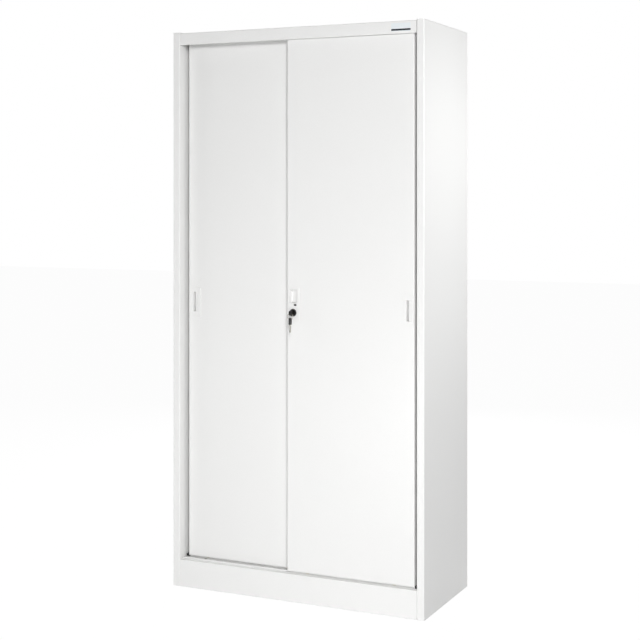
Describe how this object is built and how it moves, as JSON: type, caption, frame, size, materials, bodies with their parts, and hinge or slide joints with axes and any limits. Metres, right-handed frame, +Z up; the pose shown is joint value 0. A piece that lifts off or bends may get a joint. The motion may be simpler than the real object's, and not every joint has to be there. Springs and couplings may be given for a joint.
{
  "type": "sliding door cabinet",
  "caption": "Tall steel storage cabinet with two doors that slide past each other on rollers, adjustable shelves, flush finger pulls and a keyed lock that ties the doors together.",
  "frame": {"origin": "on the floor, at the centre of the carcass's footprint, with both doors shut", "axes": "+X to the right seen from the front, +Y to the back, +Z up; the doors face -Y"},
  "size_m": [0.9, 0.4222, 1.85],
  "materials": {
    "white_powder_coat": "semi-gloss powder coat",
    "zinc_steel": "bright zinc plate",
    "nylon": "moulded nylon",
    "rubber": "moulded rubber",
    "white_plastic": "satin moulded plastic",
    "black_plastic": "moulded plastic",
    "die_cast_zinc": "die-cast zinc",
    "nickel_plate": "nickel plate",
    "name_plate": "plain blank plate"
  },
  "bodies": {
    "carcass": {"left_side_panel": "white_powder_coat", "right_side_panel": "white_powder_coat", "left_jamb_channel": "white_powder_coat", "right_jamb_channel": "white_powder_coat", "back_panel": "white_powder_coat", "top_panel": "white_powder_coat", "bottom_panel": "white_powder_coat", "header_rail": "white_powder_coat", "front_plinth": "white_powder_coat", "rear_plinth": "white_powder_coat", "bottom_rail": "white_powder_coat", "top_guide_track": "white_powder_coat", "left_front_upright": "white_powder_coat", "left_rear_upright": "white_powder_coat", "right_front_upright": "white_powder_coat", "right_rear_upright": "white_powder_coat", "shelf_1": "white_powder_coat", "shelf_2": "white_powder_coat", "shelf_3": "white_powder_coat", "shelf_4": "white_powder_coat", "shelf_stiffener_1": "white_powder_coat", "shelf_stiffener_2": "white_powder_coat", "shelf_stiffener_3": "white_powder_coat", "shelf_stiffener_4": "white_powder_coat", "shelf_clips": "zinc_steel", "closing_stops": "rubber", "opening_stops": "rubber", "name_plate": "name_plate", "assembly_screws": "zinc_steel", "track_screws": "zinc_steel"},
    "right_door": {"right_door_panel": "white_powder_coat", "right_door_stiffener": "white_powder_coat", "right_roller_housings": "zinc_steel", "right_roller_axles": "zinc_steel", "right_top_guides": "nylon", "right_pull": "white_plastic", "lock_plate": "white_plastic", "lock_body": "die_cast_zinc", "lock_bezel": "black_plastic"},
    "left_door": {"left_door_panel": "white_powder_coat", "left_door_stiffener": "white_powder_coat", "left_roller_housings": "zinc_steel", "left_roller_axles": "zinc_steel", "left_top_guides": "nylon", "left_pull": "white_plastic", "strike_plate": "zinc_steel", "strike_rivets": "zinc_steel"},
    "right_roller_1": {"right_door_roller_1": "nylon"},
    "right_roller_2": {"right_door_roller_2": "nylon"},
    "left_roller_1": {"left_door_roller_1": "nylon"},
    "left_roller_2": {"left_door_roller_2": "nylon"},
    "lock_plug": {"lock_cylinder": "nickel_plate", "lock_tongue": "zinc_steel", "tongue_screw": "zinc_steel"},
    "key": {"key_blade": "nickel_plate", "key_grip": "black_plastic"},
    "ring": {"key_ring": "nickel_plate"},
    "spare_key": {"spare_key_blade": "nickel_plate", "spare_key_grip": "black_plastic"}
  },
  "joints": [
    {"name": "right_door_slide", "type": "slide", "parent": "carcass", "child": "right_door", "axis": [-1, 0, 0], "range_m": [0, 0.386]},
    {"name": "left_door_slide", "type": "slide", "parent": "carcass", "child": "left_door", "axis": [1, 0, 0], "range_m": [0, 0.386]},
    {"name": "right_roller_1_spin", "type": "hinge", "parent": "right_door", "child": "right_roller_1", "pos_m": [0.043, -0.179, 0.10405], "axis": [0, -1, 0], "range_deg": [-5, 2220]},
    {"name": "right_roller_2_spin", "type": "hinge", "parent": "right_door", "child": "right_roller_2", "pos_m": [0.3435, -0.179, 0.10405], "axis": [0, -1, 0], "range_deg": [-5, 2220]},
    {"name": "left_roller_1_spin", "type": "hinge", "parent": "left_door", "child": "left_roller_1", "pos_m": [-0.3435, -0.149, 0.10405], "axis": [0, 1, 0], "range_deg": [-5, 2220]},
    {"name": "left_roller_2_spin", "type": "hinge", "parent": "left_door", "child": "left_roller_2", "pos_m": [-0.043, -0.149, 0.10405], "axis": [0, 1, 0], "range_deg": [-5, 2220]},
    {"name": "lock_turn", "type": "hinge", "parent": "right_door", "child": "lock_plug", "pos_m": [-0.004, -0.18, 0.929], "axis": [0, -1, 0], "range_deg": [0, 90]},
    {"name": "key_withdraw", "type": "slide", "parent": "lock_plug", "child": "key", "axis": [0, -1, 0], "range_m": [0, 0.026]},
    {"name": "ring_swing", "type": "hinge", "parent": "key", "child": "ring", "pos_m": [-0.004, -0.2135, 0.929], "axis": [1, 0, 0], "range_deg": [-60, 5]},
    {"name": "spare_key_swing", "type": "hinge", "parent": "ring", "child": "spare_key", "pos_m": [-0.004, -0.2135, 0.9071], "axis": [1, 0, 0], "range_deg": [-45, 10]}
  ],
  "couplings": [
    {"joint": "right_roller_1_spin", "follows": "right_door_slide", "rad_per_m": 100},
    {"joint": "right_roller_2_spin", "follows": "right_door_slide", "rad_per_m": 100},
    {"joint": "left_roller_1_spin", "follows": "left_door_slide", "rad_per_m": 100},
    {"joint": "left_roller_2_spin", "follows": "left_door_slide", "rad_per_m": 100}
  ]
}
